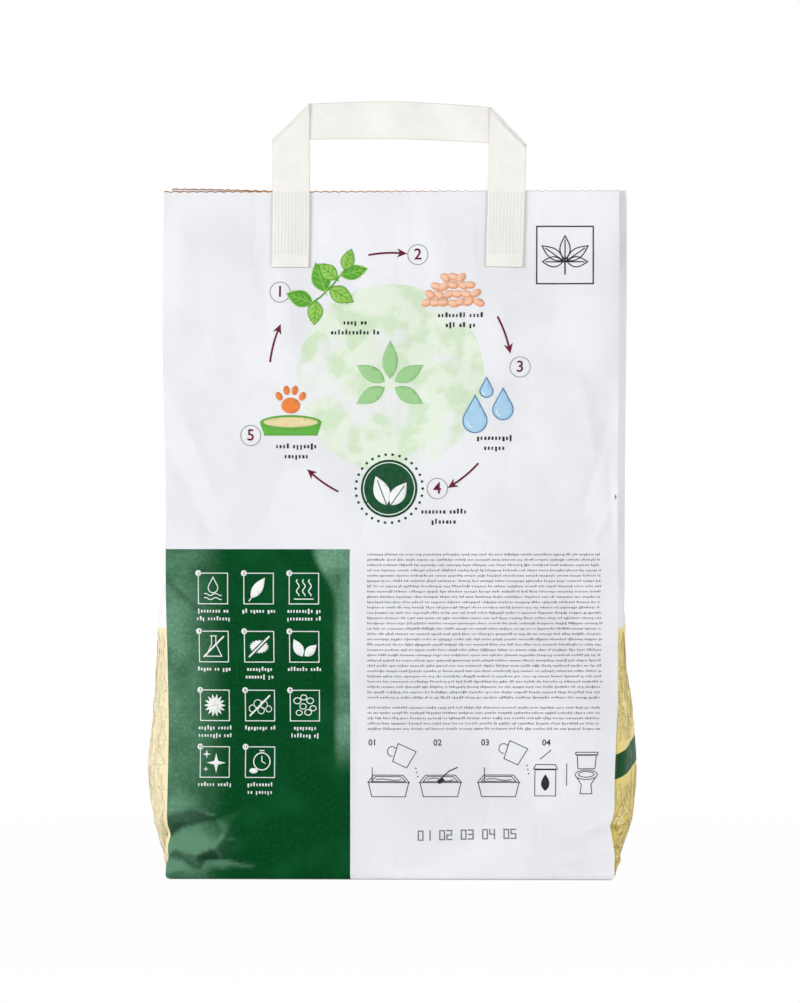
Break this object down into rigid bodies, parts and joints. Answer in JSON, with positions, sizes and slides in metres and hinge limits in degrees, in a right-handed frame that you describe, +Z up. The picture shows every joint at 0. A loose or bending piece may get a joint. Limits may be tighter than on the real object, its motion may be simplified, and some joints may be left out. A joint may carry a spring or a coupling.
{
  "type": "cat litter bag",
  "caption": "Filled paper cat litter bag: upright sack with tucked side gussets, flat block base, closed toothed top edge and a folded tape carry handle pasted to its near panel.",
  "frame": {"origin": "middle of the flat block base, on the surface that the bag stands on", "axes": "+Z up towards the handle, +X across the printed panel to its right, -Y out of the near panel that carries the handle"},
  "size_m": [0.2686, 0.102, 0.4199],
  "materials": {
    "white_coated_paper": "satin",
    "warm_white_tape": "satin",
    "printing_ink": "satin"
  },
  "bodies": {
    "root": {"paper_sack": "white_coated_paper", "carry_handle": "warm_white_tape"}
  },
  "joints": []
}
